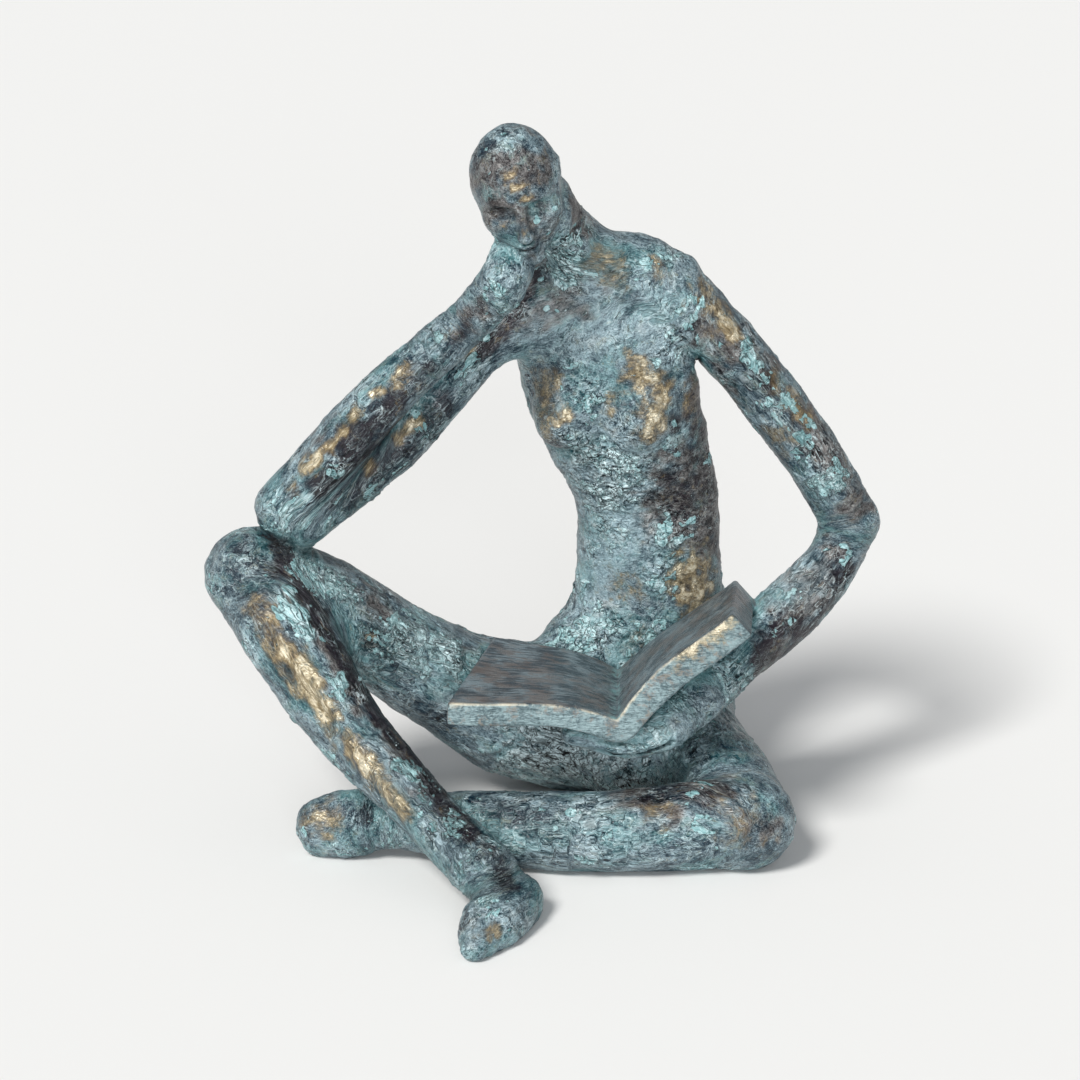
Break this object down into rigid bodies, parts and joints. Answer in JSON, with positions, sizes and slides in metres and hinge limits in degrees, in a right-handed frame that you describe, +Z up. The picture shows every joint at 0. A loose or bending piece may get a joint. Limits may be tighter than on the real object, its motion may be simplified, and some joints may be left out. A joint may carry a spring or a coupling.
{
  "type": "seated reading figurine",
  "caption": "Slender seated woman with an open book on her lap, elbow propped on her raised knee and hand under her chin, cast in one piece with a verdigris finish.",
  "frame": {"origin": "middle of the footprint's bounding box, on the plane the figure sits on", "axes": "+Z up, the figure faces -Y, her right side is on -X"},
  "size_m": [0.2633, 0.2118, 0.2814],
  "materials": {
    "verdigris_bronze_paint": "cast polyresin painted dark slate bronze, with pale green verdigris in the hollows and gold rubbed on the high places, satin"
  },
  "bodies": {
    "root": {"reading_figure": "verdigris_bronze_paint"}
  },
  "joints": []
}
